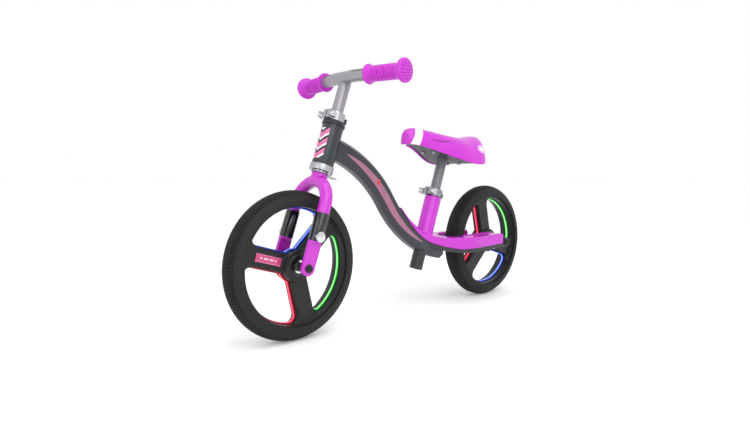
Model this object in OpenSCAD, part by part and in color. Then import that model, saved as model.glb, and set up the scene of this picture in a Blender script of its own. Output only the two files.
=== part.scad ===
// Balance bike for a small child: a steel frame with a curved beam, three-spoke moulded wheels
// with a light ring in every window, and a bar and a saddle that slide in quick clamps.
// Millimetres. +X is forward, +Y is the rider's left, +Z is up.
// The origin is on the ground, midway between the axles.

/* [Wheels] */
// Outside diameter of both tyres
wheel_d = 300; // [260:1:360]
// Width of both tyres
tyre_w = 54; // [44:1:64]
// Distance between the two axles
wheelbase = 636; // [560:1:760]
// Radial height of a tyre above the rim's seat
tyre_h = 22; // [16:1:26]
// Radial thickness of the rim's ring
rim_ring_t = 11; // [8:1:16]
// Width of the rim's ring, across the tyre
rim_w = 40; // [32:1:42]
// Half the width of a spoke
spoke_half = 19; // [14:1:24]
// Thickness of the spokes along the axle
spoke_t = 26; // [20:1:30]
// Direction of the front wheel's first spoke
front_phase = 17; // [0:1:119]
// Direction of the rear wheel's first spoke
rear_phase = 77; // [0:1:119]
// Corner radius at a window's outer end
window_corner = 16; // [8:1:20]
// Corner radius at a window's hub end
window_nose = 14; // [8:1:18]
// Height of the small step where the web meets the rim's ring and the hub
web_step = 0.5; // [0.3:0.1:1]
// Radial thickness of a light ring
light_t = 3; // [2:0.5:4]
// Width of a light ring along the axle
light_w = 7; // [4:1:12]

/* [Hubs] */
// Outside diameter of the hub barrel
hub_d = 62; // [52:1:66]
// Length of the hub barrel
hub_w = 46; // [38:1:52]
// Diameter of both axles
axle_d = 10; // [8:1:12]
// Outside diameter of a wheel bearing
bearing_d = 26; // [22:1:30]
// Width of a wheel bearing
bearing_w = 8; // [6:1:9]
// Radial clearance of a turning fit
run_gap = 0.05; // [0.02:0.01:0.09]
// Clearance between faces that move past each other
face_gap = 0.4; // [0.3:0.1:1]

/* [Fork] */
// Head tube angle from the ground
head_angle = 70.2; // [66:0.1:74]
// Distance of the front axle ahead of the steering axis
fork_offset = 4.4; // [0:0.1:20]
// Outside diameter of the fork legs
fork_tube_d = 26; // [22:0.5:30]
// Wall of the fork tube
fork_wall = 2; // [1.5:0.1:3]
// Gap between the tyre's side and a fork leg
leg_gap = 10; // [6:1:16]
// Gap between the tyre's tread and the fork arch
tread_gap = 14; // [8:1:24]
// Width of the flattened fork end
blade_w = 30; // [26:1:34]
// Thickness of the flattened fork end
blade_t = 8; // [6:0.5:10]
// Height of the flattened fork end's top above the axle
blade_top = 50; // [40:1:60]
// Length of the black sleeve on a leg
sleeve_l = 61; // [40:1:70]
// Diameter of the silver emblem on a sleeve
emblem_d = 21; // [14:1:24]
// Wall of the black sleeve
sleeve_t = 1.5; // [1:0.1:2]
// Largest steering angle each way
steer_limit = 45; // [30:1:60]

/* [Head] */
// Outside diameter of the head tube
head_d = 45; // [42:0.5:50]
// Length of the head tube
head_l = 87; // [70:1:110]
// Wall of the head tube
head_wall = 2; // [1.5:0.1:3]
// Outside diameter of the steerer tube
steerer_d = 30; // [29:0.1:31]
// Outside diameter of the stem tube
stem_d = 25.4; // [22:0.1:26]
// Radial clearance of a tube that slides in another
slide_gap = 0.08; // [0.03:0.01:0.1]
// Height of the fork's neck above its arch
neck_h = 5; // [4:1:12]
// Thickness of the steering stop's plate
plate_t = 2; // [1.5:0.5:3]
// Width of the steering stop's tongue
tongue_w = 16; // [10:1:18]
// Diameter of the two studs that stop the tongue
stud_d = 5; // [4:0.5:6]
// Height of the crown race
race_h = 2; // [1.5:0.5:5]
// Height of the lower cup below the head tube
lower_cup_h = 12.5; // [9:0.5:16]
// Height of the upper cup above the head tube
upper_cup_h = 5; // [4:0.5:10]
// Diameter of the lower cup
cup_d = 50; // [46:1:54]
// Height of the headset cap
cap_h = 4; // [3:0.5:10]

/* [Bar] */
// Height of the bar above the bar clamp
bar_rise = 88; // [60:1:130]
// Distance of the bar ahead of the stem
bar_ahead = 6.6; // [0:0.1:12]
// Half the length of the bar's straight middle
bar_mid = 27; // [20:1:40]
// Angle at which each end sweeps back
bar_sweep = 8.5; // [0:0.5:20]
// Angle at which each end droops
bar_drop = 1.4; // [0:0.1:4]
// Bare length between a bend and a grip
bar_bare = 42; // [30:1:80]
// Thickness of the closed end of a grip
grip_cap = 6; // [4:0.5:8]
// Diameter of the bar inside the grips
grip_bore_d = 22.2; // [19:0.1:24]
// Wall of the bar and of the stem tube
bar_wall = 2; // [1.5:0.1:2.5]
// Length of a grip
grip_l = 97; // [90:1:120]
// Diameter of a grip
grip_d = 31; // [28:1:38]
// Diameter of a grip's inner flange
grip_flange_d = 41; // [38:1:50]
// Diameter of a grip's end disc
grip_end_d = 48; // [44:1:58]
// Depth of the stem inside the steerer
stem_depth = 96; // [80:1:110]

/* [Frame] */
// Depth of the beam, from its top to its bottom edge
beam_h = 45; // [40:1:56]
// Width of the beam
beam_w = 38; // [32:1:40]
// Wall of the beam
beam_wall = 2; // [1.5:0.5:4]
// Slope of the beam at the head tube
beam_a0 = 14.6; // [10:0.1:20]
// Steepest slope of the beam
beam_a1 = 56.6; // [52:0.1:62]
// Slope of the beam at its rear end
beam_a2 = 11.6; // [8:0.1:14]
// Distance from the rear tyre's front to the beam's end
beam_clear = 43; // [34:1:50]
// Distance from the seat tube's foot to the beam's end
seat_ahead = 65; // [58:1:80]
// Distance of the stays outside the rear tyre's side
stay_gap = 36; // [30:1:44]
// Width of a stay
stay_w = 12; // [8:1:16]
// Height of a stay
stay_h = 9; // [7:1:12]
// Height of a stay's underside above the axle line, negative below
stay_z = -11; // [-12:0.5:-8]
// Diameter of the boss round the rear axle
boss_d = 24; // [22:1:30]

/* [Seat] */
// Seat tube angle from the ground
seat_angle = 70; // [66:0.1:76]
// Outside diameter of the seat tube
seat_tube_d = 31.8; // [30:0.1:34]
// Outside diameter of the seat post
post_d = 25.4; // [22:0.1:27.2]
// Length of the seat tube above the axle line
seat_tube_up = 153; // [140:1:190]
// Length of the seat tube below the axle line
seat_tube_down = 52; // [44:1:60]
// Length of the seat post above the seat tube
post_up = 88; // [80:1:120]
// Depth of the seat post inside the seat tube
post_depth = 122; // [110:1:140]
// Length of the saddle
saddle_l = 272; // [240:1:300]
// Width of the saddle
saddle_w = 142; // [120:1:160]
// Distance of the saddle's nose ahead of the post
saddle_nose = 145; // [120:1:170]

/* [Cover] */
// Wall of the pink cover
cover_t = 3; // [2:0.5:4]
// Diameter of the cover's seat mast
mast_d = 41; // [38:0.5:46]
// Height of the foot boards
board_h = 26; // [18:1:30]
// Gap between a foot board and the rear tyre's side
board_gap = 11; // [8:1:16]
// Width of a foot board
board_w = 40; // [34:1:44]
// Diameter of the screws that hold the cover to the stays
screw_d = 3.2; // [2.6:0.1:4]

/* [Clamps] */
// Height of a clamp collar
collar_h = 18; // [14:1:22]
// Wall of a clamp collar
collar_t = 4; // [3:0.5:5]
// Distance of the skewer ahead of the clamped tube's surface
skewer_out = 4.5; // [4:0.5:7]
// Diameter of a skewer
skewer_d = 5; // [4:0.5:6]
// Diameter of a skewer's barrel, which the lever turns on
barrel_d = 7; // [6:0.5:8]
// Diameter of a lever's cam
cam_d = 16; // [14:0.5:18]
// Height of a lever
lever_h = 11; // [9:0.5:14]
// Thickness of a lever's arm
lever_t = 4; // [3:0.5:5]

/* [Hidden] */
$fn = 64;

// Places that follow from the sizes above
wheel_r = wheel_d / 2;
tyre_mid_r = wheel_r - tyre_w / 2;
rim_seat_r = wheel_r - tyre_h;
window_r = rim_seat_r - rim_ring_t;
axle_x = wheelbase / 2;
steer_tilt = 90 - head_angle;
seat_tilt = 90 - seat_angle;

// Heights along the steering axis, from the axle's level
leg_y = tyre_w / 2 + leg_gap + fork_tube_d / 2;
arch_w = wheel_r + tread_gap + fork_tube_d / 2 - leg_y;
arch_top = arch_w + leg_y + fork_tube_d / 2;
neck_top = arch_top + neck_h;
plate_top = neck_top + plate_t;
race_top = plate_top + race_h;
head_low = race_top + face_gap + lower_cup_h;
head_high = head_low + head_l;
upper_cup_top = head_high + upper_cup_h;
cap_low = upper_cup_top + face_gap;
cap_top = cap_low + cap_h;
collar_low = cap_top + 1;
collar_mid = collar_low + collar_h / 2;
steerer_top = collar_low + collar_h + 2;
bar_w = collar_mid + bar_rise;
neck_d = steerer_d + 4;
cup_bore_d = steerer_d + 6;
stem_low = steerer_top - stem_depth;
// The studs stand where the tongue's side meets them just past full lock
stud_r = cup_d / 2 - stud_d / 2 - 0.5;
stud_turn = steer_limit + asin((tongue_w / 2 + stud_d / 2 + face_gap) / stud_r);

// The beam is two arcs that meet at its steepest point
beam_start = from_steer([0, head_low + head_l / 2 - 2]);
beam_end = [-axle_x + wheel_r + beam_clear, wheel_r - 8.5];
beam_dx = beam_start[0] - beam_end[0];
beam_dz = beam_start[1] - beam_end[1];
arc_s1 = sin(beam_a1) - sin(beam_a0);
arc_s2 = sin(beam_a1) - sin(beam_a2);
arc_c1 = cos(beam_a0) - cos(beam_a1);
arc_c2 = cos(beam_a2) - cos(beam_a1);
arc_det = arc_s1 * arc_c2 - arc_s2 * arc_c1;
beam_r1 = (beam_dx * arc_c2 - beam_dz * arc_s2) / arc_det;
beam_r2 = (beam_dz * arc_s1 - beam_dx * arc_c1) / arc_det;
beam_c1 = beam_start + beam_r1 * [sin(beam_a0), -cos(beam_a0)];
beam_c2 = beam_end + beam_r2 * [-sin(beam_a2), cos(beam_a2)];

seat_x = beam_end[0] + seat_ahead;
board_in = tyre_w / 2 + board_gap;
board_out = board_in + board_w;
stay_y = tyre_w / 2 + stay_gap + stay_w / 2;
boss_out = stay_y + stay_w / 2;
mast_top = seat_tube_up - collar_h - 3;
collar_seat_mid = seat_tube_up - collar_h / 2 - 2;

// World place of a point [u, w] beside the steering axis
function from_steer(p) = [
    axle_x + (p[0] - fork_offset) * cos(steer_tilt) - p[1] * sin(steer_tilt),
    wheel_r + (p[0] - fork_offset) * sin(steer_tilt) + p[1] * cos(steer_tilt)
];
// Points of an arc in the plane, with n steps from angle a to angle b
function arc(c, r, a, b, n) =
    [for (i = [0:n]) c + r * [cos(a + (b - a) * i / n), sin(a + (b - a) * i / n)]];
// A rise from 0 to 1 that starts and ends level
function ease(t) = t <= 0 ? 0 : t >= 1 ? 1 : t * t * (3 - 2 * t);

// Turns what is drawn along +Z so that it stands on the steering axis or the seat tube's axis
module on_steer()
    translate([axle_x, 0, wheel_r]) rotate([0, -steer_tilt, 0]) translate([-fork_offset, 0, 0]) children();
module on_seat() translate([seat_x, 0, wheel_r]) rotate([0, -seat_tilt, 0]) children();
module at_front() translate([axle_x, 0, wheel_r]) children();
module at_rear() translate([-axle_x, 0, wheel_r]) children();
module both_sides() {
    children();
    mirror([0, 1, 0]) children();
}
// A disc or tube from z = a to z = b
module rod(d, a, b) translate([0, 0, a]) cylinder(d = d, h = b - a);
module tube(d, bore, a, b) difference() {
    rod(d, a, b);
    rod(bore, a - 1, b + 1);
}
// The same along Y
module y_rod(d, a, b) translate([0, a, 0]) rotate([-90, 0, 0]) cylinder(d = d, h = b - a);
module y_tube(d, bore, a, b) difference() {
    y_rod(d, a, b);
    y_rod(bore, a - 1, b + 1);
}

// Frame

// Section of the beam, grown by g on every side: [outwards to the top, sideways]
function beam_section(g) = let(h = beam_h / 2 + g, w = beam_w / 2 + g) [
    [h, w * 0.5], [h - 8, w], [-h + 11, w], [-h, w * 0.45],
    [-h, -w * 0.45], [-h + 11, -w], [h - 8, -w], [h, -w * 0.5]
];
module beam_arc(c, start, sweep, points)
    translate([c[0], 0, c[1]]) rotate([90, 0, 0]) rotate([0, 0, start])
        rotate_extrude(angle = sweep) polygon(points);
// The same points measured from an arc's centre: side is 1 where the beam's top faces away from it
function on_radius(r, side, points) = [for (p = points) [r + side * p[0], p[1]]];
module beam_body() {
    beam_arc(beam_c1, 90 + beam_a0, beam_a1 - beam_a0, on_radius(beam_r1, 1, beam_section(0)));
    beam_arc(beam_c2, beam_a2 - 90, beam_a1 - beam_a2, on_radius(beam_r2, -1, beam_section(0)));
}
// The thin tips of the beam's mitre end this far behind the steering axis
mitre = stem_d / 2 + 1.3;
module head_tube() color("#41444b") on_steer() tube(head_d, head_d - 2 * head_wall, head_low, head_high);
module main_beam() color("#41444b") difference() {
    beam_body();
    beam_hollow();
    on_steer() rod(head_d, head_low - 60, head_high + 60);
    on_steer() translate([-mitre, -beam_w, head_low - 60]) cube([mitre + beam_w, 2 * beam_w, head_l + 120]);
    on_seat() rod(seat_tube_d, -seat_tube_down - 9, seat_tube_up);
}
// The beam's inside, which stops short of its capped rear end
module beam_hollow() {
    inside = beam_section(-beam_wall);
    beam_arc(beam_c1, 90 + beam_a0, beam_a1 - beam_a0, on_radius(beam_r1, 1, inside));
    beam_arc(beam_c2, beam_a2 + 1 - 90, beam_a1 - beam_a2 - 1, on_radius(beam_r2, -1, inside));
}
module seat_tube() color("#2b2d31") on_seat() difference() {
    tube(seat_tube_d, post_d + 2 * slide_gap, -seat_tube_down, seat_tube_up);
    clamp_slot(seat_tube_d, seat_tube_up);
}
// The slot that lets a collar close a tube's top
module clamp_slot(d, top) translate([0, -1.5, top - collar_h - 8]) cube([d, 3, collar_h + 9]);

// The stays and boards leave the beam this far ahead of its end, and spread over this length
leave_ahead = 72;
spread_l = 136;
leave_x = beam_end[0] + leave_ahead;
// Plan of a stay's or board's edge: it leaves the beam at near and eases out to y, with n steps
function reach(x, y, near) = near + (y - near) * ease((leave_x - x) / spread_l);
function edge(y, near, x0, x1, n) =
    [for (i = [0:n]) let(x = x0 + (x1 - x0) * i / n) [x, reach(x, y, near)]];
// Angles on the beam's lower arc between which the stays and boards follow it
arc_back = 7;
arc_front = 30;
// Side view of a stay's or board's edge: it follows the beam's lower arc, lift above the beam's middle,
// and then runs straight to the dropout
function flank(lift, back_z, x) = concat([[x, back_z]],
    arc(beam_c2, beam_r2 - lift, arc_back - 90, arc_front - 90, 14));
module side_cut(lower, upper) rotate([90, 0, 0]) translate([0, 0, -150]) linear_extrude(300)
    polygon(concat(lower, [for (i = [len(upper) - 1:-1:0]) upper[i]]));
stay_low = wheel_r + stay_z;
board_low = stay_low + stay_h;
// Height of a stay's top edge, where a board starts, above the beam's middle
stay_lift = 6;
module stay() difference() {
    union() {
        intersection() {
            translate([0, 0, wheel_r - 60]) linear_extrude(200)
                polygon(concat(edge(stay_y + stay_w / 2, 16, leave_x, -axle_x, 16),
                    edge(stay_y - stay_w / 2, 4, -axle_x, leave_x, 16)));
            side_cut(flank(stay_lift - stay_h, stay_low, -axle_x), flank(stay_lift, board_low, -axle_x));
        }
        at_rear() y_rod(boss_d, stay_y - stay_w / 2, boss_out);
    }
    beam_body();
    on_seat() rod(seat_tube_d, -seat_tube_down, seat_tube_up);
    at_rear() y_rod(axle_d, 0, boss_out + 1);
    cover_screw(screw_d);
}
module stay_left() color("#4a4d52") stay();
module stay_right() color("#4a4d52") mirror([0, 1, 0]) stay();

// The cover: a mast round the seat tube, a skirt on the beam and a foot board on each side
// Angle on the beam's lower arc at which the skirt ends in its tip
cover_tip = 49;
board_back = -axle_x + boss_d / 2 + 6;
// Front of the round notch between the boards, ahead of the rear tyre
notch_x = beam_end[0] - 20;
board_top = board_low + board_h;
function skirt_section() = let(h = beam_h / 2, w = beam_w / 2) [
    [h + cover_t, w * 0.6], [h - 6, w + cover_t], [stay_lift, w + cover_t],
    [stay_lift, -w - cover_t], [h - 6, -w - cover_t], [h + cover_t, -w * 0.6]
];
// Faces of the cover's parts are set this far inside each other, so that no two coincide
sink = 1;
board_near = beam_w / 2 + cover_t - sink;
module boards() intersection() {
    translate([0, 0, wheel_r - 60]) linear_extrude(200) polygon(concat(
        edge(board_out, board_near, leave_x, board_back, 16),
        [[board_back, board_in]],
        arc([notch_x - board_in, 0], board_in, 90, -90, 20),
        [[board_back, -board_in]],
        edge(-board_out, -board_near, board_back, leave_x, 16)
    ));
    side_cut(flank(stay_lift + sink / 2, board_low, board_back),
        concat([[board_back, board_top], [beam_end[0] + 9, board_top]],
            arc(beam_c2, beam_r2 - beam_h / 2 - cover_t + sink, arc_back - 81, arc_front - 90, 10)));
}
// The mast's foot widens by flare all round, in a hollow curve that starts flare_low above the axle line
flare = 14;
flare_low = 14;
module mast() intersection() {
    on_seat() rotate_extrude() polygon(concat(
        [[0, 0], [mast_d / 2 + flare, 0]],
        arc([mast_d / 2 + 2 * flare, flare_low + 2 * flare], 2 * flare, 210, 180, 6),
        [[mast_d / 2, mast_top], [0, mast_top]]
    ));
    translate([beam_c2[0], 0, beam_c2[1]]) y_rod(2 * (beam_r2 - stay_lift - sink), -board_near, board_near);
}
// From this angle on the arc, the skirt's lower edge sweeps up to the beam's top edge at the tip,
// along a circle that shares the beam's slope where the sweep starts
sweep_from = 22;
sweep_r0 = beam_r2 - stay_lift - sink / 2;
sweep_r1 = beam_r2 - beam_h / 2;
sweep_out = (sweep_r0 * sweep_r0 - sweep_r1 * sweep_r1)
    / (2 * (sweep_r0 - sweep_r1 * cos(cover_tip - sweep_from)));
sweep_c = beam_c2 + sweep_out * [sin(sweep_from), -cos(sweep_from)];
module below_sweep() difference() {
    beam_arc(beam_c2, sweep_from - 90, 50, [
        [sweep_r1 - 10, -board_out], [sweep_r0 + 10, -board_out],
        [sweep_r0 + 10, board_out], [sweep_r1 - 10, board_out]
    ]);
    translate([sweep_c[0], 0, sweep_c[1]]) y_rod(2 * (sweep_r0 - sweep_out), -board_out - 1, board_out + 1);
}
module rear_cover() color("#d23bd4") difference() {
    union() {
        mast();
        beam_arc(beam_c2, beam_a2 - 90, cover_tip - beam_a2, on_radius(beam_r2, -1, skirt_section()));
        boards();
    }
    below_sweep();
    beam_body();
    on_seat() rod(seat_tube_d, -seat_tube_down, seat_tube_up);
    both_sides() cover_screw(screw_d);
}
// Two screws on each side come up through the stay, with their heads let into it
screw_x = -axle_x + 50;
screw_pitch = 66;
module cover_screw(d) for (x = [screw_x, screw_x + screw_pitch]) translate([x, stay_y, stay_low - 3.5]) {
    cylinder(d = d, h = stay_h + 11.5);
    cylinder(d = d + 4, h = 4);
}
module cover_screws() color("#9a9da1") both_sides() cover_screw(screw_d);

module lower_cup() color("#a9acb0") on_steer() {
    difference() {
        union() {
            rod(cup_d, race_top + face_gap, head_low);
            rod(head_d - 2 * head_wall, head_low - 1, head_low + 11);
        }
        rod(cup_bore_d, race_top, head_low + 7);
        rod(steerer_d + 2, race_top, head_low + 12);
    }
    for (side = [-1, 1]) rotate([0, 0, 180 + side * stud_turn]) translate([stud_r, 0, 0])
        rod(stud_d, neck_top - 1, race_top + face_gap + 0.5);
}
module upper_cup() color("#a9acb0") on_steer() difference() {
    union() {
        rod(cup_d - 1, head_high, upper_cup_top);
        rod(head_d - 2 * head_wall, head_high - 11, head_high + 1);
    }
    rod(cup_bore_d, head_high - 7, upper_cup_top + 1);
    rod(steerer_d + 2, head_high - 12, upper_cup_top + 1);
}
module headset_bearings() color("#c4c7cb") on_steer() {
    tube(cup_bore_d, steerer_d + 2 * run_gap, head_low - 2, head_low + 6);
    tube(cup_bore_d, steerer_d + 2 * run_gap, head_high - 6, head_high + 2);
}

module rear_axle() color("#8d9094") at_rear() y_rod(axle_d, -boss_out, boss_out);
module spacers(inner) both_sides() y_tube(axle_d + 8, axle_d, hub_w / 2 + face_gap, inner);
module rear_spacers() color("#2a2b2d") at_rear() spacers(stay_y - stay_w / 2);
// Button head on the axle's end, with a hexagon socket
module axle_bolts(out, d) both_sides() difference() {
    union() {
        y_rod(d, out, out + 2);
        y_rod(d - 4, out + 2, out + 6);
    }
    translate([0, out + 3, 0]) rotate([-90, 0, 0]) cylinder(d = 6, h = 6, $fn = 6);
}
module rear_axle_bolts() color("#55585c") at_rear() axle_bolts(boss_out, 18);

// Fork and headset

module fork_cavity() {
    bore = fork_tube_d - 2 * fork_wall;
    translate([0, 0, arch_w]) rotate([0, -90, 0]) rotate([0, 0, -90]) rotate_extrude(angle = 180)
        translate([leg_y, 0]) circle(d = bore);
    both_sides() translate([0, leg_y, 0]) rod(bore, blade_top + 6, arch_w);
}
// The flattened end overlaps the round leg by this much, and the sleeve starts above it
blade_lap = 4;
module fork_metal() {
    translate([0, 0, arch_w]) rotate([0, -90, 0]) rotate([0, 0, -90]) rotate_extrude(angle = 180)
        translate([leg_y, 0]) circle(d = fork_tube_d);
    both_sides() translate([0, leg_y, 0]) {
        rod(fork_tube_d, blade_top, arch_w);
        translate([-blade_w / 2, -blade_t / 2, 0]) cube([blade_w, blade_t, blade_top + blade_lap]);
        y_rod(blade_w, -blade_t / 2, blade_t / 2);
    }
}
module fork() color("#d23bd4") on_steer() {
    difference() {
        union() {
            translate([fork_offset, 0, 0]) fork_metal();
            rod(neck_d, arch_w + leg_y - 6, neck_top);
        }
        translate([fork_offset, 0, 0]) fork_cavity();
        rod(steerer_d, arch_w + leg_y, neck_top + 1);
        translate([fork_offset, 0, 0]) y_rod(axle_d, -leg_y - blade_t, leg_y + blade_t);
    }
}
module stop_plate() color("#8f9296") on_steer() difference() {
    union() {
        rod(2 * stud_r - stud_d - 2 * face_gap, neck_top, plate_top);
        translate([-cup_d / 2 - 14, -tongue_w / 2, neck_top]) cube([cup_d / 2 + 14, tongue_w, plate_t]);
    }
    rod(steerer_d, neck_top - 1, plate_top + 1);
}
module steerer_tube() color("#b4b6ba") on_steer() difference() {
    tube(steerer_d, stem_d + 2 * slide_gap, arch_w + leg_y, steerer_top);
    clamp_slot(steerer_d, steerer_top);
}
module crown_race() color("#c4c7cb") on_steer() tube(cup_bore_d - 1, steerer_d, plate_top, race_top);
module fork_sleeves() color("#141415") on_steer() translate([fork_offset, 0, 0]) both_sides()
    translate([0, leg_y, 0])
        tube(fork_tube_d + 2 * sleeve_t, fork_tube_d, blade_top + blade_lap, blade_top + sleeve_l);
module fork_emblems() color("#b9bcc1") on_steer() translate([fork_offset, 0, 0]) both_sides()
    translate([0, leg_y, blade_top + 14]) difference() {
        y_rod(emblem_d, 4, fork_tube_d / 2 + sleeve_t + 1);
        rod(fork_tube_d + 2 * sleeve_t, -emblem_d, emblem_d);
    }
module headset_cap() color("#a9acb0") on_steer() tube(cup_d - 3, steerer_d, cap_low, cap_top);

// Clamps, drawn round a tube that stands on the origin, with the collar's middle at z = 0

// The nut sits on a flat cut this far from the collar's middle
nut_d = 13;
nut_seat = 10.5;
module collar(d) {
    skewer_x = d / 2 + skewer_out;
    difference() {
        union() {
            rod(d + 2 * collar_t, -collar_h / 2, collar_h / 2);
            translate([0, -11, -collar_h / 2]) cube([skewer_x + 6, 22, collar_h]);
        }
        rod(d, -collar_h, collar_h);
        translate([0, -1.5, -collar_h]) cube([d + 20, 3, 2 * collar_h]);
        translate([skewer_x, 0, 0]) y_rod(skewer_d, -20, 20);
        translate([skewer_x, 0, 0]) y_rod(nut_d + 1, nut_seat, 30);
    }
}
module skewer(d) translate([d / 2 + skewer_out, 0, 0]) {
    y_rod(skewer_d, -cam_y(d), 22);
    translate([0, -cam_y(d), 0]) rod(barrel_d, -lever_h / 2 + 1, lever_h / 2 - 1);
}
function cam_y(d) = max(11, d / 2 + collar_t - 4) + cam_d / 2 + face_gap;
module skewer_nut(d) translate([d / 2 + skewer_out, 0, 0]) y_tube(nut_d, skewer_d, nut_seat, 20);
// Middle radius of the lever's arm, which wraps round the collar, and the angle of the cam's axis
function arm_r(d) = d / 2 + collar_t + face_gap + 2.6 + lever_t / 2;
function arm_start(d) = -atan2(cam_y(d), d / 2 + skewer_out);
module lever_arm(d, a, b, h, t) rotate([0, 0, a]) rotate_extrude(angle = b - a)
    translate([arm_r(d) - t / 2, -h / 2]) square([t, h]);
// The arm stops this far short of the cam's top and bottom, and the block this far short of its side
cam_relief = 0.6;
// Angles round the tube at which the arm leaves the cam, gives way to its tip, and at which the tip ends
arm_leave = 8;
arm_end = -138;
tip_end = -196;
module lever(d) difference() {
    union() {
        lever_arm(d, arm_end, arm_start(d) - arm_leave, lever_h - 2 * cam_relief, lever_t);
        translate([d / 2 + skewer_out, -cam_y(d), 0]) rod(cam_d, -lever_h / 2, lever_h / 2);
        translate([d / 2 + skewer_out - 17, -cam_y(d) - cam_d / 2 + cam_relief, -lever_h / 2])
            cube([17, cam_d / 2 - cam_relief, lever_h]);
    }
    translate([d / 2 + skewer_out, -cam_y(d), 0]) {
        rod(barrel_d + 2 * run_gap, -lever_h, lever_h);
        translate([-cam_d * 0.3, -cam_d, -skewer_d / 2 - face_gap])
            cube([2 * cam_d, 3 * cam_d, skewer_d + 2 * face_gap]);
    }
}
module lever_tip(d) lever_arm(d, tip_end, arm_end, lever_h + 1, lever_t + 1.5);

module at_seat_clamp() on_seat() translate([0, 0, collar_seat_mid]) children();
module at_bar_clamp() on_steer() translate([0, 0, collar_mid]) children();
module seat_collar() color("#8d9094") at_seat_clamp() collar(seat_tube_d);
module seat_skewer() color("#c4c7cb") at_seat_clamp() skewer(seat_tube_d);
module seat_skewer_nut() color("#b4b6ba") at_seat_clamp() skewer_nut(seat_tube_d);
module seat_lever() color("#56595d") at_seat_clamp() lever(seat_tube_d);
module seat_lever_tip() color("#141415") at_seat_clamp() lever_tip(seat_tube_d);
module bar_collar() color("#a9acb0") at_bar_clamp() collar(steerer_d);
module bar_skewer() color("#c4c7cb") at_bar_clamp() skewer(steerer_d);
module bar_skewer_nut() color("#b4b6ba") at_bar_clamp() skewer_nut(steerer_d);
module bar_lever() color("#a9acb0") at_bar_clamp() lever(steerer_d);
module bar_lever_tip() color("#141415") at_bar_clamp() lever_tip(steerer_d);

// Front hub on the fork

module front_axle() color("#8d9094") at_front() y_rod(axle_d, -leg_y - blade_t / 2, leg_y + blade_t / 2);
module front_spacers() color("#2a2b2d") at_front() spacers(leg_y - blade_t / 2);
module front_axle_bolts() color("#55585c") at_front() axle_bolts(leg_y + blade_t / 2, 17);

// Bar

module stem_tube() color("#969498") on_steer() difference() {
    tube(stem_d, stem_d - 2 * bar_wall, stem_low, bar_w);
    translate([bar_ahead, 0, bar_w]) y_rod(stem_d, -40, 40);
}
// Radial swell of the tube at a bend
bend_swell = 0.3;
// One bend turns a grip back and down at once
bend = acos(cos(bar_sweep) * cos(bar_drop));
bend_axis = [-sin(bar_drop), 0, sin(bar_sweep) * cos(bar_drop)];
// Moves to the bend, with +Y along the grip
module on_bar_end() translate([0, bar_mid, 0]) rotate(a = bend, v = bend_axis) children();
// The bar with wall or bore diameters as given: a straight middle, a ball at each bend and a stretch
// that steps down inside the grip
module bar_rods(middle_d, end_d, step_y, end_y) {
    y_rod(middle_d, -bar_mid, bar_mid);
    both_sides() on_bar_end() {
        sphere(d = middle_d + 2 * bend_swell);
        y_rod(middle_d, 0, step_y);
        y_rod(end_d, step_y - 1, end_y);
    }
}
module on_bar() on_steer() translate([bar_ahead, 0, bar_w]) rotate([0, steer_tilt, 0]) children();
module bar_tube() color("#969498") on_bar() difference() {
    bar_rods(stem_d, grip_bore_d, bar_bare, bar_bare + grip_l - grip_cap);
    bar_rods(stem_d - 2 * bar_wall, grip_bore_d - 2 * bar_wall, bar_bare - bar_wall, bar_bare + grip_l);
}
module grip() on_bar_end() translate([0, bar_bare, 0]) difference() {
    union() {
        y_rod(grip_flange_d, 0, 4);
        y_rod(grip_d, 3, grip_l - 5);
        y_rod(grip_end_d, grip_l - 11, grip_l - 3);
        y_rod(grip_end_d - 6, grip_l - 4, grip_l);
    }
    y_rod(grip_bore_d, -1, grip_l - grip_cap);
}
module grip_left() color("#d23bd4") on_bar() grip();
module grip_right() color("#d23bd4") on_bar() mirror([0, 1, 0]) grip();

// Saddle

post_top = seat_tube_up + post_up;
module seat_post() color("#4c4e53") on_seat() tube(post_d, post_d - 3.6, seat_tube_up - post_depth, post_top);
// The saddle's frame: level, with the post's axis crossing x = 0 at z = 0
module on_saddle() on_seat() translate([0, 0, post_top]) rotate([0, seat_tilt, 0]) children();
// Half the saddle's width at s, counted from the nose: 0 at both ends
nose_half = 24;
function end_round(s, r) = s >= r ? 1 : sqrt(1 - (1 - s / r) * (1 - s / r));
function saddle_half(s) = (nose_half + (saddle_w / 2 - nose_half) * ease((s / saddle_l - 0.06) / 0.62))
    * end_round(s, 26) * end_round(saddle_l - s, 60);
// Height of the top's crest and of the skirt's edge
function saddle_top(s) = 66 - 19 * ease(s / saddle_l / 0.72) + 8 * ease((s / saddle_l - 0.72) / 0.24)
    - 20 * (1 - end_round(s, 40)) - 22 * (1 - end_round(saddle_l - s, 30));
function saddle_low(s) = 26 - 46 * ease(s / saddle_l / 0.76) + 16 * ease((s / saddle_l - 0.8) / 0.2);
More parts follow.
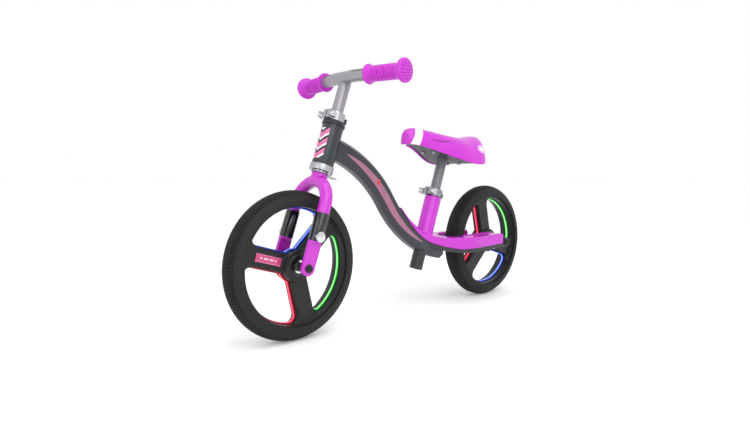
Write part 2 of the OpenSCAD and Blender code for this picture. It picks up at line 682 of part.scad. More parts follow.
// One ring of the saddle, drawn inwards by g: up one side, over the crest and down the other side.
// lift raises its lower edge, and drop only draws that edge out downwards
function saddle_ring(s, g, lift, drop) = let(
    w = max(saddle_half(s) - g, 0.6),
    t = saddle_top(s) - g,
    b = saddle_low(s) + lift
) [for (i = [0:16]) let(
    a = -8 + 196 * i / 16,
    q = pow(abs(cos(a)), 0.7) * sign(cos(a)),
    v = pow(max(sin(a), 0), 0.62)
) [saddle_nose - s, w * q * (1 - 0.22 * v), b + (t - b) * v - (v == 0 ? drop : 0)]];
module saddle_solid(s0, s1, g, lift, drop) {
    steps = 20;
    rings = [for (k = [0:steps]) saddle_ring(s0 + (s1 - s0) * k / steps, g, lift, drop)];
    n = len(rings[0]);
    polyhedron(
        points = [for (r = rings) for (p = r) p],
        faces = concat(
            [for (k = [0:steps - 1]) for (i = [0:n - 1]) let(j = (i + 1) % n)
                [k * n + i, k * n + j, k * n + n + j]],
            [for (k = [0:steps - 1]) for (i = [0:n - 1]) let(j = (i + 1) % n)
                [k * n + i, k * n + n + j, k * n + n + i]],
            [[for (i = [0:n - 1]) n - 1 - i], [for (i = [0:n - 1]) steps * n + i]]
        )
    );
}
module saddle_shell() color("#d23bd4") on_saddle() difference() {
    saddle_solid(0.8, saddle_l - 0.8, 0, 0, 0);
    saddle_solid(7, saddle_l - 7, 6, 0, 14);
}
// The base sits 2 mm inside the shell and is set back a little from the skirt's edge
module saddle_base() color("#3a3b3f") on_saddle() difference() {
    saddle_solid(9, saddle_l - 9, 8, 1.5, 0);
    rotate([0, -seat_tilt, 0]) rod(post_d, -60, 0);
    saddle_bolt_heads();
}
module saddle_bolt_heads() for (x = [-40, 56]) for (y = [-18, 18])
    translate([x, y, saddle_low(saddle_nose - x) - 3.5]) cylinder(d = 10, h = 6.5, $fn = 6);
module saddle_bolts() color("#8d9094") on_saddle() saddle_bolt_heads();

// Wheels, drawn round the Y axis

module tyre() difference() {
    rotate([90, 0, 0]) rotate_extrude($fn = 96) translate([tyre_mid_r, 0]) circle(d = tyre_w);
    rotate([90, 0, 0]) rotate_extrude($fn = 96) translate([0, -rim_w / 2]) square([rim_seat_r, rim_w]);
    rotate([90, 0, 0]) cylinder(r = window_r + 4, h = tyre_w + 2, center = true);
}
// Outline of one window, drawn inwards by g, with the window's middle along +X
function window(g) = let(
    k = spoke_half + g,
    rc = window_corner - g,
    rn = window_nose - g,
    ro = window_r - g,
    turn = 60 - asin((k + rc) / (ro - rc)),
    hub_end = (k + rn) / sin(60)
) concat(
    arc([0, 0], ro, -turn, turn, 16),
    arc((ro - rc) * [cos(turn), sin(turn)], rc, turn, 150, 8),
    arc([hub_end, 0], rn, 150, 210, 6),
    arc((ro - rc) * [cos(turn), -sin(turn)], rc, 210, 360 - turn, 8)
);
module across(w) rotate([90, 0, 0]) translate([0, 0, -w / 2]) linear_extrude(w) children();
module rim(phase) difference() {
    union() {
        rotate([90, 0, 0]) rotate_extrude($fn = 96) translate([window_r + web_step, -rim_w / 2])
            square([rim_ring_t - web_step, rim_w]);
        across(spoke_t) circle(r = window_r + 2);
        y_rod(hub_d, -hub_w / 2 + 3, hub_w / 2 - 3);
        y_rod(hub_d - 16, -hub_w / 2, hub_w / 2);
    }
    for (k = [0:2]) rotate([0, -phase - 60 - 120 * k, 0]) across(rim_w) difference() {
        polygon(window(0));
        circle(d = hub_d + 2 * web_step);
    }
    y_rod(bearing_d, -hub_w, hub_w);
}
module light(phase, k) rotate([0, -phase - 60 - 120 * k, 0]) across(light_w) difference() {
    difference() {
        polygon(window(0));
        circle(d = hub_d + 2 * web_step);
    }
    difference() {
        polygon(window(light_t));
        circle(d = hub_d + 2 * web_step + 2 * light_t);
    }
}
module bearings() both_sides() y_tube(bearing_d, axle_d + 2 * run_gap, hub_w / 2 - bearing_w, hub_w / 2);
module hub_rings() both_sides() y_tube(bearing_d + 14, bearing_d, hub_w / 2, hub_w / 2 + 1.5);
module light_unit() y_tube(bearing_d, axle_d + 4, -hub_w / 2 + bearing_w, hub_w / 2 - bearing_w);
plate_l = 58;
module front_name_plates() color("#d8438c") at_front() rotate([0, -front_phase, 0]) both_sides()
    translate([hub_d / 2 + 7, spoke_t / 2, -8]) cube([plate_l, 1.5, 16]);

module front_tyre() color("#262626") at_front() tyre();
module front_rim() color("#1e2020") at_front() rim(front_phase);
module front_light_blue() color("#8fb4ff") at_front() light(front_phase, 0);
module front_light_green() color("#a8ffb0") at_front() light(front_phase, 1);
module front_light_red() color("#ff3b6b") at_front() light(front_phase, 2);
module front_bearings() color("#c4c7cb") at_front() bearings();
module front_hub_rings() color("#b4b6ba") at_front() hub_rings();
module front_light_unit() color("#dddddd") at_front() light_unit();
module rear_tyre() color("#262626") at_rear() tyre();
module rear_rim() color("#1e2020") at_rear() rim(rear_phase);
module rear_light_green() color("#a8ffb0") at_rear() light(rear_phase, 0);
module rear_light_blue() color("#8fb4ff") at_rear() light(rear_phase, 1);
module rear_light_red() color("#ff3b6b") at_rear() light(rear_phase, 2);
module rear_bearings() color("#c4c7cb") at_rear() bearings();
module rear_hub_rings() color("#b4b6ba") at_rear() hub_rings();
module rear_light_unit() color("#dddddd") at_rear() light_unit();

head_tube();
main_beam();
seat_tube();
stay_left();
stay_right();
rear_cover();
cover_screws();
lower_cup();
upper_cup();
headset_bearings();
stop_plate();
rear_axle();
rear_spacers();
rear_axle_bolts();
seat_collar();
seat_skewer();
seat_skewer_nut();
seat_lever();
seat_lever_tip();
fork();
steerer_tube();
crown_race();
fork_sleeves();
fork_emblems();
headset_cap();
bar_collar();
bar_skewer();
bar_skewer_nut();
bar_lever();
bar_lever_tip();
front_axle();
front_spacers();
front_axle_bolts();
stem_tube();
bar_tube();
grip_left();
grip_right();
seat_post();
saddle_shell();
saddle_base();
saddle_bolts();
front_tyre();
front_rim();
front_light_blue();
front_light_red();
front_light_green();
front_bearings();
front_hub_rings();
front_name_plates();
front_light_unit();
rear_tyre();
rear_rim();
rear_light_green();
rear_light_red();
rear_light_blue();
rear_bearings();
rear_hub_rings();
rear_light_unit();
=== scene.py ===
"""Balance bike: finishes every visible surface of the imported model, in metres, in the model's frame."""
import math

import bpy
from bpy.props import FloatProperty, FloatVectorProperty, IntProperty
from mathutils import Matrix, Vector


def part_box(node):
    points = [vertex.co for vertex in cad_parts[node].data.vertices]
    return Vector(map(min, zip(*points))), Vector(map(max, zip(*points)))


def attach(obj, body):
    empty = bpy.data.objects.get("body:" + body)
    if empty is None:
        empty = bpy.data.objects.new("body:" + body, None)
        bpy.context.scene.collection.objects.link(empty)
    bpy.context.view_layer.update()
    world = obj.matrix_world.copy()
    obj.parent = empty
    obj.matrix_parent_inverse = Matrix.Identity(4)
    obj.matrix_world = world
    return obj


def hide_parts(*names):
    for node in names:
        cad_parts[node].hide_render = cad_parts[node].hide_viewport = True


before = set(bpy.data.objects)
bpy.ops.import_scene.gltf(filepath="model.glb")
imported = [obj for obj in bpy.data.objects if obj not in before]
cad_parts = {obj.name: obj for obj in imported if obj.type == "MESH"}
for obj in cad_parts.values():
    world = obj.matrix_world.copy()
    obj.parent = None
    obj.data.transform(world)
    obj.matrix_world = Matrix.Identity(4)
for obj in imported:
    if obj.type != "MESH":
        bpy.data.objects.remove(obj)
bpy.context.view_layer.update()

bl_info = {
    "name": "Balance bike",
    "version": (1, 0, 0),
    "blender": (4, 5, 0),
    "location": "View3D > Sidebar > Balance bike",
    "description": "Tyres, rims, lights, paint, grips and saddle of a child's balance bike",
    "category": "Object",
}

# The middle line of the main beam, as centres (x, z) and radii of its front arc and its rear arc
BEAM = {"c1": (0.29938, 0.11301), "r1": 0.28306, "c2": (-0.18467, 0.43217), "r2": 0.29673}
AXLES = {end: sum(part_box(end + "_axle"), Vector()) / 2 for end in ("front", "rear")}


def linear(hex_colour):
    """An sRGB hex colour as linear red, green and blue, with full alpha."""
    parts = [int(hex_colour[i:i + 2], 16) / 255 for i in (0, 2, 4)]
    return [c / 12.92 if c <= 0.04045 else ((c + 0.055) / 1.055) ** 2.4 for c in parts] + [1.0]


# Sizes and colours that a user would change

class BikeSizes(bpy.types.PropertyGroup):
    head_tilt: FloatProperty(
        name="Steering tilt", description="How far the steering axis leans back from upright",
        default=math.radians(19.8), subtype="ANGLE")
    seat_tilt: FloatProperty(
        name="Seat tube tilt", description="How far the seat tube leans back from upright",
        default=math.radians(20), subtype="ANGLE")
    tyre_middle: FloatProperty(
        name="Tyre section radius", description="From the axle to the middle of the tyre's section",
        default=0.123, unit="LENGTH", precision=4)
    tyre_section: FloatProperty(
        name="Tyre section", description="Radius of the tyre's round section, with its tread blocks",
        default=0.027, unit="LENGTH", precision=4)
    block_height: FloatProperty(
        name="Tread block height", description="How far a tread block stands out",
        default=0.0009, unit="LENGTH", precision=4)
    block_count: IntProperty(
        name="Blocks round a tyre", description="How many tread blocks go once round a tyre", default=132)
    rim_round: FloatProperty(
        name="Rim rounding", description="Grain of the rounded, moulded rim surface",
        default=0.0015, unit="LENGTH", precision=4)
    bar_bare: FloatProperty(
        name="Bare bar", description="Bare length of bar between a bend and a grip",
        default=0.042, unit="LENGTH", precision=4)
    grip_length: FloatProperty(
        name="Grip length", description="Length of a grip", default=0.097, unit="LENGTH", precision=4)
    saddle_length: FloatProperty(
        name="Saddle length", description="Length of the saddle", default=0.272, unit="LENGTH", precision=4)
    saddle_nose: FloatProperty(
        name="Saddle nose", description="From the seat post to the saddle's nose",
        default=0.145, unit="LENGTH", precision=4)
    saddle_half: FloatProperty(
        name="Half saddle width", description="Half the saddle's greatest width",
        default=0.071, unit="LENGTH", precision=4)


class BikeColours(bpy.types.PropertyGroup):
    magenta: FloatVectorProperty(
        name="Magenta", description="Cover, fork, grips and saddle", size=4, subtype="COLOR",
        default=linear("BE1FC0"))
    frame_grey: FloatVectorProperty(
        name="Frame grey", description="Beam, head tube and stays", size=4, subtype="COLOR",
        default=linear("1E2328"))
    bar_grey: FloatVectorProperty(
        name="Bar grey", description="Stem and bar", size=4, subtype="COLOR", default=linear("9A989C"))
    tyre_black: FloatVectorProperty(
        name="Tyre black", description="Tyres", size=4, subtype="COLOR", default=linear("161616"))
    rim_black: FloatVectorProperty(
        name="Rim black", description="Rims", size=4, subtype="COLOR", default=linear("111213"))
    glow_blue: FloatVectorProperty(
        name="Blue light", description="Blue light rings", size=4, subtype="COLOR", default=linear("1846F0"))
    glow_green: FloatVectorProperty(
        name="Green light", description="Green light rings", size=4, subtype="COLOR",
        default=linear("12D02E"))
    glow_red: FloatVectorProperty(
        name="Red light", description="Red light rings", size=4, subtype="COLOR", default=linear("F00A38"))


def sizes():
    return bpy.context.scene.bike_sizes


def colours():
    return bpy.context.scene.bike_colours


def steering_place():
    """The steering axis's frame: +Z up along it, with the axle's level at 0."""
    return (Matrix.Translation(AXLES["front"]) @ Matrix.Rotation(-sizes().head_tilt, 4, "Y")
            @ Matrix.Translation((-0.0044, 0, 0)))


def seat_place():
    """The seat tube's frame: +Z up along it, with the axle's level at 0."""
    return Matrix.Translation((-0.060, 0, 0.150)) @ Matrix.Rotation(-sizes().seat_tilt, 4, "Y")


def bar_place():
    """The bar's frame: level, with its straight middle along Y through the origin."""
    return (steering_place() @ Matrix.Translation((0.0066, 0, 0.4063))
            @ Matrix.Rotation(sizes().head_tilt, 4, "Y"))


def bar_end_place(side):
    """The frame of one bar end: +Y out along the grip from the bend. Side is 1 for left, -1 for right."""
    sweep, droop = math.radians(8.5), math.radians(1.4)
    bend = math.acos(math.cos(sweep) * math.cos(droop))
    axis = Vector((-math.sin(droop), 0, math.sin(sweep) * math.cos(droop)))
    end = Matrix.Translation((0, 0.027, 0)) @ Matrix.Rotation(bend, 4, axis)
    return bar_place() @ (end if side > 0 else Matrix.Scale(-1, 4, (0, 1, 0)) @ end)


def saddle_place():
    """The saddle's frame: level, with the top of the seat post at its origin."""
    return seat_place() @ Matrix.Translation((0, 0, 0.241)) @ Matrix.Rotation(sizes().seat_tilt, 4, "Y")


# Modelling

def only(*objects):
    """Makes these the only selected objects, the first one active, in object mode."""
    if bpy.context.object and bpy.context.object.mode != "OBJECT":
        bpy.ops.object.mode_set(mode="OBJECT")
    bpy.ops.object.select_all(action="DESELECT")
    for piece in objects:
        piece.select_set(True)
    bpy.context.view_layer.objects.active = objects[0]


def edit(piece, kind="VERT", test=None):
    """Opens a piece in edit mode with all of it selected, or only the parts that pass the test."""
    only(piece)
    bpy.ops.object.mode_set(mode="EDIT")
    bpy.ops.mesh.select_mode(type=kind)
    bpy.ops.mesh.select_all(action="SELECT" if test is None else "DESELECT")
    if test is not None:
        bpy.ops.object.mode_set(mode="OBJECT")
        parts = {"VERT": piece.data.vertices, "EDGE": piece.data.edges, "FACE": piece.data.polygons}[kind]
        for part in parts:
            part.select = test(part)
        bpy.ops.object.mode_set(mode="EDIT")


def done():
    """Leaves edit mode."""
    bpy.ops.object.mode_set(mode="OBJECT")
    return bpy.context.object


def modify(piece, kind, **settings):
    """Adds one modifier with its settings and applies it."""
    only(piece)
    made = piece.modifiers.new(kind, kind)
    for name, value in settings.items():
        setattr(made, name, value)
    bpy.ops.object.modifier_apply(modifier=made.name)
    return piece


def new_piece():
    """The piece that an operator has just added, ready to be shaped."""
    piece = bpy.context.object
    only(piece)
    return piece


def profile(points, close=False):
    """Draws a line through (x, y) points by extruding one vertex along it."""
    bpy.ops.object.select_all(action="DESELECT")
    bpy.ops.mesh.primitive_plane_add(size=0.001)
    piece = new_piece()
    edit(piece)
    bpy.ops.mesh.merge(type="CENTER")
    bpy.ops.transform.translate(value=(*points[0], 0))
    for a, b in zip(points, points[1:]):
        bpy.ops.mesh.extrude_vertices_move(TRANSFORM_OT_translate={"value": (b[0] - a[0], b[1] - a[1], 0)})
    if close:
        bpy.ops.mesh.select_all(action="SELECT")
        bpy.ops.mesh.edge_face_add()
    return done()


def lathe(points, steps):
    """A closed solid turned round the Y axis from (radius, y) points, which close up or end on the axis."""
    piece = profile(points)
    edit(piece)
    bpy.ops.mesh.spin(steps=steps, angle=2 * math.pi, center=(0, 0, 0), axis=(0, 1, 0))
    bpy.ops.mesh.select_all(action="SELECT")
    bpy.ops.mesh.remove_doubles(threshold=0.00002)
    bpy.ops.mesh.dissolve_degenerate(threshold=0.000005)
    bpy.ops.mesh.select_all(action="SELECT")
    bpy.ops.mesh.normals_make_consistent(inside=False)
    return done()


def copy_of(node):
    """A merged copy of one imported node's mesh."""
    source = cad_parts[node]
    piece = source.copy()
    piece.data = source.data.copy()
    for key in list(piece.keys()):
        del piece[key]
    bpy.context.scene.collection.objects.link(piece)
    piece.parent = None
    piece.matrix_world = Matrix.Identity(4)
    piece.hide_render = piece.hide_viewport = False
    edit(piece)
    bpy.ops.mesh.remove_doubles(threshold=0.00001)
    done()
    bpy.ops.mesh.customdata_custom_splitnormals_clear()
    return piece


def round_edges(node, width, angle=28, segments=3):
    """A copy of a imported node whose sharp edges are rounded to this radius."""
    piece = copy_of(node)
    edit(piece)
    bpy.ops.mesh.dissolve_limited(angle_limit=math.radians(0.6))
    done()
    modify(piece, "BEVEL", width=width, segments=segments, limit_method="ANGLE",
           angle_limit=math.radians(angle), use_clamp_overlap=True, harden_normals=False)
    return piece


def mould(node, grain, rounds):
    """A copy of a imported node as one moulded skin: its edges and inner corners are rounded over evenly."""
    piece = copy_of(node)
    modify(piece, "REMESH", mode="VOXEL", voxel_size=grain, adaptivity=0)
    modify(piece, "SMOOTH", factor=0.5, iterations=rounds)
    return piece


def settle(piece, name, body, material, nodes=(), place=None, smooth=32):
    """Puts a finished piece in its place, names it, paints it and ties it to its body."""
    only(piece)
    if place is not None:
        piece.matrix_basis = place @ piece.matrix_basis
    bpy.ops.object.transform_apply(location=True, rotation=True, scale=True)
    if place is not None and place.determinant() < 0:
        edit(piece)
        bpy.ops.mesh.normals_make_consistent(inside=False)
        done()
    bpy.ops.object.shade_smooth_by_angle(angle=math.radians(smooth))
    piece.name = piece.data.name = name
    piece.data.materials.clear()
    piece.data.materials.append(material)
    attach(piece, body)
    if nodes:
        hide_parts(*nodes)
    return piece


def finish_nodes(table):
    """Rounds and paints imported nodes: each row is node, body, edge radius, material and slot."""
    for node, body, width, material, slot in table:
        settle(round_edges(node, width), node + "_finished", body, material, [node])


def paint_node(node, material):
    """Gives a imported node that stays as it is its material."""
    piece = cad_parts[node]
    piece.data.materials.clear()
    piece.data.materials.append(material)


# Materials

def add(tree, kind, inputs=None, **settings):
    """Adds one shader node, with its settings, and a value or a link for each named or numbered input."""
    made = tree.nodes.new("ShaderNode" + kind)
    for name, value in settings.items():
        setattr(made, name, value)
    for name, value in (inputs or {}).items():
        if isinstance(value, bpy.types.NodeSocket):
            tree.links.new(value, made.inputs[name])
        else:
            made.inputs[name].default_value = value
    return made


def surface(name, colour, rough, second=None, patch_mm=18, grain_mm=0.5, relief_mm=0.02, spread=0.08,
            **shader):
    """A material with patchy colour and gloss and a fine relief. Returns it with its parts to build on."""
    material = bpy.data.materials.new(name)
    material.use_nodes = True
    tree = material.node_tree
    tree.nodes.clear()
    place = add(tree, "TexCoord").outputs["Object"]
    patches = add(tree, "TexNoise", {"Vector": place, "Scale": 1000 / patch_mm, "Detail": 3.0})
    grain = add(tree, "TexNoise", {"Vector": place, "Scale": 1000 / grain_mm, "Detail": 2.0})
    if second is None:
        second = [c * 0.86 for c in colour[:3]] + [1.0]
    tint = add(tree, "Mix", {0: patches.outputs["Fac"], 6: colour, 7: second}, data_type="RGBA")
    gloss = add(tree, "MapRange", {0: patches.outputs["Fac"], 1: 0.3, 2: 0.7,
                                   3: rough * (1 - spread), 4: rough * (1 + spread)})
    bump = add(tree, "Bump", {"Height": grain.outputs["Fac"], "Distance": relief_mm / 1000, "Strength": 1.0})
    skin = add(tree, "BsdfPrincipled", {
        "Base Color": tint.outputs[2], "Roughness": gloss.outputs[0], "Normal": bump.outputs[0], **shader})
    out = add(tree, "OutputMaterial", {"Surface": skin.outputs[0]})
    return material, {"tree": tree, "place": place, "tint": tint, "bump": bump, "skin": skin, "out": out,
                      "grain": grain}


def painted_over(parts, mask, colour):
    """Puts a decal's colour over a material's own where the mask is 1."""
    tree = parts["tree"]
    over = add(tree, "Mix", {0: mask, 6: parts["tint"].outputs[2], 7: colour}, data_type="RGBA")
    tree.links.new(over.outputs[2], parts["skin"].inputs["Base Color"])
    parts["tint"] = over


def calc(tree, operation, a, b=0.0, c=0.0):
    """One sum on numbers or sockets."""
    return add(tree, "Math", {0: a, 1: b, 2: c}, operation=operation).outputs[0]


MADE = {}


def shop(name):
    """The finished material of one kind, made once."""
    if name in MADE:
        return MADE[name]
    c = colours()
    magenta = list(c.magenta)
    if name == "satin_magenta_paint":
        # Baked enamel on steel tube: smooth, a soft clear coat and a slight orange peel
        made, parts = surface("Baked magenta enamel", magenta, 0.30, grain_mm=1.4, relief_mm=0.012,
                              **{"Coat Weight": 0.45, "Coat Roughness": 0.12, "IOR": 1.5})
    elif name == "magenta_abs":
        # Moulded ABS: glossy, with broad, very shallow sink and flow marks
        made, parts = surface("Moulded magenta ABS", magenta, 0.27, patch_mm=40, grain_mm=0.8,
                              relief_mm=0.008, **{"Coat Weight": 0.25, "Coat Roughness": 0.15, "IOR": 1.53})
    elif name == "grip_rubber":
        # Moulded thermoplastic rubber: soft sheen and a fine matt grain
        made, parts = surface("Moulded magenta TPR", magenta, 0.48, grain_mm=0.35, relief_mm=0.03,
                              **{"Sheen Weight": 0.15, "IOR": 1.5})
    elif name == "powder_grey":
        # Powder coat on steel: even dark grey with the fine dimples of the fused powder
        made, parts = surface("Grey powder coat on steel", list(c.frame_grey), 0.36, grain_mm=0.9,
                              relief_mm=0.02, **{"Coat Weight": 0.2, "Coat Roughness": 0.25, "IOR": 1.5})
    elif name == "powder_black":
        # The same powder coat in a near black
        made, parts = surface("Black powder coat on steel", linear("222427"), 0.4, grain_mm=0.9,
                              relief_mm=0.02, **{"IOR": 1.5})
    elif name == "post_grey":
        # Wet paint on the sliding post: mid grey, a little glossier than the frame
        made, parts = surface("Grey painted steel post", linear("6E6F74"), 0.34, grain_mm=0.7,
                              relief_mm=0.012, **{"Coat Weight": 0.3, "Coat Roughness": 0.2, "IOR": 1.5})
    elif name == "bar_grey":
        # Silver grey metallic paint: flakes give it a broad, soft highlight
        made, parts = surface("Silver grey metallic paint", list(c.bar_grey), 0.38, patch_mm=6, grain_mm=0.3,
                              relief_mm=0.01, **{"Metallic": 0.55, "Coat Weight": 0.2, "Coat Roughness": 0.2})
    elif name == "cast_aluminium":
        # Bead-blasted cast aluminium: pale, with a soft grainy highlight
        made, parts = surface("Blasted cast aluminium", linear("B4B6B9"), 0.36, patch_mm=8, grain_mm=0.4,
                              relief_mm=0.03, **{"Metallic": 1.0})
    elif name == "zinc_plate":
        # Bright zinc plate on steel: cool grey with cloudy patches
        made, parts = surface("Zinc-plated steel", linear("A3A6AA"), 0.28, linear("8C9095"), patch_mm=5,
                              grain_mm=0.5, relief_mm=0.01, **{"Metallic": 1.0})
    elif name == "chrome":
        # Chrome plate: nearly a mirror, with faint haze
        made, parts = surface("Chrome plate", linear("D9DBDD"), 0.1, patch_mm=10, grain_mm=2.0,
                              relief_mm=0.01, spread=0.4, **{"Metallic": 1.0})
    elif name == "black_oxide":
        # Blackened steel bolts: dark, slightly oily shine
        made, parts = surface("Black oxide steel", linear("4A4C50"), 0.3, linear("2C2D30"), patch_mm=4,
                              grain_mm=0.5, relief_mm=0.01, **{"Metallic": 1.0})
    elif name == "gloss_black":
        # Polished black acrylic: deep and shiny
        made, parts = surface("Polished black plastic", linear("0E0E10"), 0.1, patch_mm=30, grain_mm=3.0,
                              relief_mm=0.01, spread=0.3, **{"Coat Weight": 0.5, "Coat Roughness": 0.05})
    elif name == "matt_black":
        # Glass-filled nylon: dark with a dry surface
        made, parts = surface("Black nylon", linear("1A1B1C"), 0.5, grain_mm=0.4, relief_mm=0.03,
                              **{"IOR": 1.53})
    elif name == "rim_nylon":
        # Moulded nylon rim: satin black with a fine spark-eroded texture
        made, parts = surface("Spark-textured black nylon", list(c.rim_black), 0.36, linear("17181A"),
                              patch_mm=30, grain_mm=0.8, relief_mm=0.03,
                              **{"IOR": 1.53, "Specular IOR Level": 0.3})
    elif name == "tyre_rubber":
        # Tyre rubber: dull black, a trace of grey bloom and a rough fine grain
        made, parts = surface("Tyre rubber", list(c.tyre_black), 0.66, linear("1E1E1D"), patch_mm=12,
                              grain_mm=0.6, relief_mm=0.06, **{"IOR": 1.52, "Specular IOR Level": 0.3})
    elif name == "saddle_base":
        # Moulded polypropylene pan: charcoal, waxy, lightly textured
        made, parts = surface("Charcoal polypropylene", linear("34363A"), 0.5, grain_mm=0.8, relief_mm=0.05,
                              **{"IOR": 1.49})
    elif name == "white_plastic":
        # Milky light housing
        made, parts = surface("Milk-white ABS", linear("E4E4E2"), 0.4, grain_mm=1.0, relief_mm=0.01)
    elif name == "decal_rose":
        # Printed vinyl: dusty rose, a little paler in patches
        made, parts = surface("Dusty rose vinyl decal", linear("8A4F6E"), 0.35, linear("9E6580"), patch_mm=20,
                              grain_mm=1.0, relief_mm=0.005, **{"Coat Weight": 0.3, "Coat Roughness": 0.2})
    elif name == "decal_red":
        # Printed vinyl in a warm red
        made, parts = surface("Red vinyl decal", linear("B4262C"), 0.35, linear("D2502F"), patch_mm=3,
                              grain_mm=1.0, relief_mm=0.005)
    elif name == "decal_dark":
        # Printed pinstripe: charcoal ink
        made, parts = surface("Charcoal vinyl decal", linear("2C2D33"), 0.4, patch_mm=5, grain_mm=1.0,
                              relief_mm=0.005)
    MADE[name] = made
    return made


def light_material(name, glow, core):
    """A lit silicone light guide: a pale core where it is thickest, and its full colour at both sides."""
    dim = [c * 0.1 for c in glow[:3]] + [1.0]
    material, parts = surface(name, dim, 0.4, grain_mm=1.5, relief_mm=0.02)
    tree = parts["tree"]
    across = calc(tree, "ABSOLUTE", add(tree, "SeparateXYZ", {0: parts["place"]}).outputs[1])
    side = add(tree, "MapRange", {0: across, 1: 0.0006, 2: 0.0016, 3: 0.0, 4: 1.0},
               interpolation_type="SMOOTHSTEP")
    fade = add(tree, "MapRange", {0: across, 1: 0.0016, 2: 0.0034, 3: 1.0, 4: 0.12},
               interpolation_type="SMOOTHSTEP")
    uneven = add(tree, "TexNoise", {"Vector": parts["place"], "Scale": 60.0, "Detail": 1.0})
    colour = add(tree, "Mix", {0: side.outputs[0], 6: core, 7: glow}, data_type="RGBA")
    power = add(tree, "MapRange", {0: side.outputs[0], 3: 1.15, 4: 2.2})
    steady = calc(tree, "MULTIPLY_ADD", uneven.outputs["Fac"], 0.3, 0.85)
    tree.links.new(colour.outputs[2], parts["skin"].inputs["Emission Color"])
    lit = calc(tree, "MULTIPLY", power.outputs[0], fade.outputs[0])
    tree.links.new(calc(tree, "MULTIPLY", lit, steady), parts["skin"].inputs["Emission Strength"])
    return material


def saddle_material():
    """PVC leathercloth: fine pebble grain, a soft sheen, the printed band and line, and a small pale oval
    ring and dot.
    """
    magenta = list(colours().magenta)
    material, parts = surface("Magenta leathercloth", magenta, 0.34, patch_mm=50, grain_mm=0.5,
                              relief_mm=0.01, **{"Coat Weight": 0.2, "Coat Roughness": 0.25, "IOR": 1.5})
    tree = parts["tree"]
    local = add(tree, "VectorMath", {0: parts["place"], 1: saddle_place().translation}, operation="SUBTRACT")
    x, y, z = add(tree, "SeparateXYZ", {0: local.outputs[0]}).outputs
    s = calc(tree, "SUBTRACT", sizes().saddle_nose, x)
    # Pebbles of the embossed grain, about 1.2 mm across
    pebbles = add(tree, "TexVoronoi", {"Vector": parts["place"], "Scale": 1000 / 1.2}, feature="SMOOTH_F1")
    height = calc(tree, "MULTIPLY_ADD", pebbles.outputs["Distance"], -0.6, parts["grain"].outputs["Fac"])
    tree.links.new(height, parts["bump"].inputs["Height"])
    parts["bump"].inputs["Distance"].default_value = 0.00004
    # The white band leans back as it rises over the nose
    lean = calc(tree, "MULTIPLY_ADD", z, -0.55, s)
    front = calc(tree, "GREATER_THAN", lean, -0.006)
    back = calc(tree, "LESS_THAN", lean, 0.018)
    painted_over(parts, calc(tree, "MULTIPLY", front, back), linear("F2F0F2"))
    # A thin dark line in a shallow bow on each side
    t = calc(tree, "MULTIPLY_ADD", s, 2 / 0.068, -2 * 0.092 / 0.068)
    square = calc(tree, "MULTIPLY", t, t)
    middle = calc(tree, "MULTIPLY_ADD", square, 0.004, 0.0335)
    half = calc(tree, "MULTIPLY_ADD", square, -0.0013, 0.0013)
    off = calc(tree, "ABSOLUTE", calc(tree, "SUBTRACT", z, calc(tree, "MULTIPLY_ADD", t, -0.003, middle)))
    painted_over(parts, calc(tree, "LESS_THAN", off, half), linear("4A1450"))
    # A small pale oval ring with a dot inside, near the back
    u = calc(tree, "DIVIDE", calc(tree, "SUBTRACT", s, 0.228), 0.016)
    v = calc(tree, "DIVIDE", calc(tree, "SUBTRACT", z, 0.018), 0.010)
    oval = calc(tree, "ADD", calc(tree, "MULTIPLY", u, u), calc(tree, "MULTIPLY", v, v))
    ring = calc(tree, "MULTIPLY", calc(tree, "LESS_THAN", oval, 1.0), calc(tree, "GREATER_THAN", oval, 0.72))
    dot = calc(tree, "LESS_THAN", oval, 0.42)
    painted_over(parts, calc(tree, "MAXIMUM", ring, dot), linear("F0DDF2"))
    return material


def head_material():
    """Grey powder coat with a printed chevron decal down the front of the head tube."""
    material, parts = surface("Grey powder coat with chevrons", list(colours().frame_grey), 0.36,
                              grain_mm=0.9, relief_mm=0.02,
                              **{"Coat Weight": 0.2, "Coat Roughness": 0.25, "IOR": 1.5})
    tree = parts["tree"]
    centred = add(tree, "VectorMath", {0: parts["place"], 1: AXLES["front"]}, operation="SUBTRACT")
    turned = add(tree, "VectorRotate", {"Vector": centred.outputs[0], "Angle": sizes().head_tilt},
                 rotation_type="Y_AXIS")
    x, y, z = add(tree, "SeparateXYZ", {0: turned.outputs[0]}).outputs
    side = calc(tree, "ABSOLUTE", y)
    ahead = calc(tree, "GREATER_THAN", x, 0.0)
    inside = calc(tree, "LESS_THAN", side, 0.0155)
    low = calc(tree, "GREATER_THAN", z, 0.222)
    high = calc(tree, "LESS_THAN", z, 0.288)
    panel = calc(tree, "MULTIPLY", calc(tree, "MULTIPLY", ahead, inside), calc(tree, "MULTIPLY", low, high))
    rise = calc(tree, "MULTIPLY_ADD", side, -0.9, z)
    step = calc(tree, "FRACT", calc(tree, "DIVIDE", rise, 0.022))
    rose = calc(tree, "MULTIPLY", panel, calc(tree, "LESS_THAN", step, 0.5))
    white = calc(tree, "MULTIPLY", panel, calc(tree, "GREATER_THAN", step, 0.8))
    painted_over(parts, rose, linear("C9679A"))
    painted_over(parts, white, linear("E9E4E8"))
    return material


